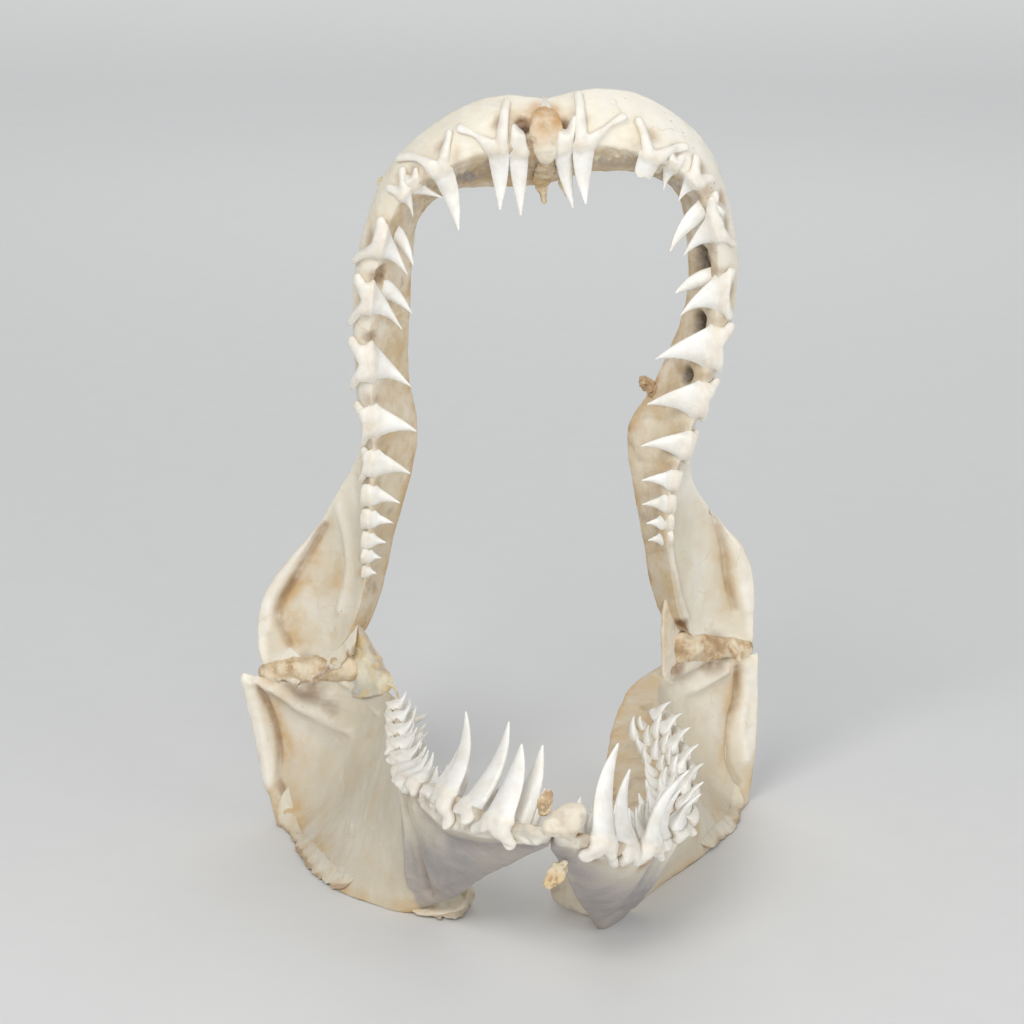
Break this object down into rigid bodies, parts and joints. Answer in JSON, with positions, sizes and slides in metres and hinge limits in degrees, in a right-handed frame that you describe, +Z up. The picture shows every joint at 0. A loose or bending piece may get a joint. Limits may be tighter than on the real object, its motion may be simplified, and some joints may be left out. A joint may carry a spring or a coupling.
{
  "type": "dried shark jaws",
  "caption": "Dried jaws of a shortfin mako shark, propped wide open and standing on the lower jaw, with slender hooked teeth.",
  "frame": {"origin": "on the floor, under the middle of the jaws' box", "axes": "+Z up, -Y the front of the open mouth, +X the animal's left"},
  "size_m": [0.1912, 0.1958, 0.274],
  "materials": {
    "cartilage": "dry satin, mottled",
    "pale_cartilage": "smooth satin",
    "tissue": "dried, rough"
  },
  "bodies": {
    "root": {"upper_jaw_right": "cartilage", "upper_jaw_left": "cartilage", "lower_jaw_right": "cartilage", "lower_jaw_left": "cartilage", "upper_symphysis": "tissue", "lower_symphysis": "pale_cartilage", "jaw_joint_right": "tissue", "jaw_joint_left": "tissue", "corner_membrane_right": "tissue", "corner_membrane_left": "tissue"}
  },
  "joints": []
}
